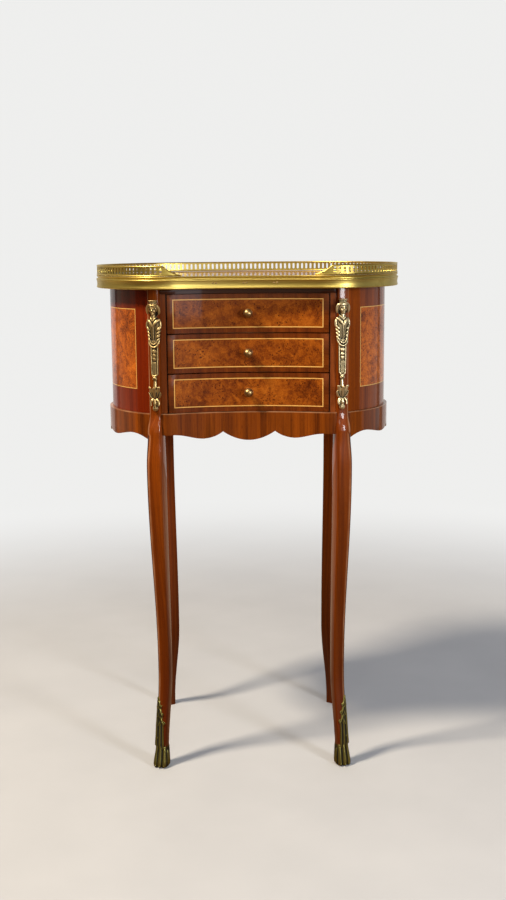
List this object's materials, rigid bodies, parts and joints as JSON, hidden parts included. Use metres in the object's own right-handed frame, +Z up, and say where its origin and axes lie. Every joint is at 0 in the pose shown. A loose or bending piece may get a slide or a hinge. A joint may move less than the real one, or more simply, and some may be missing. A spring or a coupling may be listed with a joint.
{
  "type": "kidney-shaped side table",
  "caption": "Kidney-shaped side table with hollow-fronted drawers, cabriole legs, bronze mounts, and a brass-banded top inside a pierced gallery.",
  "frame": {"origin": "on the floor, under the middle of the top's outline", "axes": "+Z up, -Y out of the drawer fronts, +X to the right of someone facing them"},
  "size_m": [0.4598, 0.3095, 0.7561],
  "materials": {
    "burr_walnut": "French polished burr veneer with string lines and crossbanding",
    "mahogany": "French polished red-brown solid wood and veneer",
    "drawer_lining": "plain unpolished oak",
    "brass": "polished, slightly toned",
    "bronze": "cast, antique patina, rubbed bright on the high parts",
    "steel": "plain"
  },
  "bodies": {
    "carcass": {"top_panel": "burr_walnut", "left_end_panel": "burr_walnut", "right_end_panel": "burr_walnut", "back_panel": "burr_walnut", "front_left_leg": "mahogany", "front_right_leg": "mahogany", "back_left_leg": "mahogany", "back_right_leg": "mahogany", "front_rail": "mahogany", "front_stile_left": "mahogany", "front_stile_right": "mahogany", "apron_front": "mahogany", "apron_left": "mahogany", "apron_right": "mahogany", "apron_back": "mahogany", "sub_top": "drawer_lining", "bottom_board": "drawer_lining", "partition_left": "drawer_lining", "partition_right": "drawer_lining", "dustboard_lower": "drawer_lining", "dustboard_upper": "drawer_lining", "top_band": "brass", "gallery_left": "brass", "gallery_back": "brass", "gallery_right": "brass", "figure_left": "bronze", "figure_right": "bronze", "sabot_left": "bronze", "sabot_right": "bronze", "top_screw_1": "steel", "top_screw_2": "steel", "top_screw_3": "steel", "top_screw_4": "steel"},
    "bottom_drawer": {"bottom_drawer_front": "burr_walnut", "bottom_drawer_left_side": "drawer_lining", "bottom_drawer_right_side": "drawer_lining", "bottom_drawer_back": "drawer_lining", "bottom_drawer_bottom": "drawer_lining", "bottom_drawer_knob": "brass", "bottom_drawer_knob_screw": "steel"},
    "middle_drawer": {"middle_drawer_front": "burr_walnut", "middle_drawer_left_side": "drawer_lining", "middle_drawer_right_side": "drawer_lining", "middle_drawer_back": "drawer_lining", "middle_drawer_bottom": "drawer_lining", "middle_drawer_knob": "brass", "middle_drawer_knob_screw": "steel"},
    "top_drawer": {"top_drawer_front": "burr_walnut", "top_drawer_left_side": "drawer_lining", "top_drawer_right_side": "drawer_lining", "top_drawer_back": "drawer_lining", "top_drawer_bottom": "drawer_lining", "top_drawer_knob": "brass", "top_drawer_knob_screw": "steel"}
  },
  "joints": [
    {"name": "bottom_drawer_slide", "type": "slide", "parent": "carcass", "child": "bottom_drawer", "axis": [0, -1, 0], "range_m": [0, 0.15]},
    {"name": "middle_drawer_slide", "type": "slide", "parent": "carcass", "child": "middle_drawer", "axis": [0, -1, 0], "range_m": [0, 0.15]},
    {"name": "top_drawer_slide", "type": "slide", "parent": "carcass", "child": "top_drawer", "axis": [0, -1, 0], "range_m": [0, 0.15]}
  ]
}
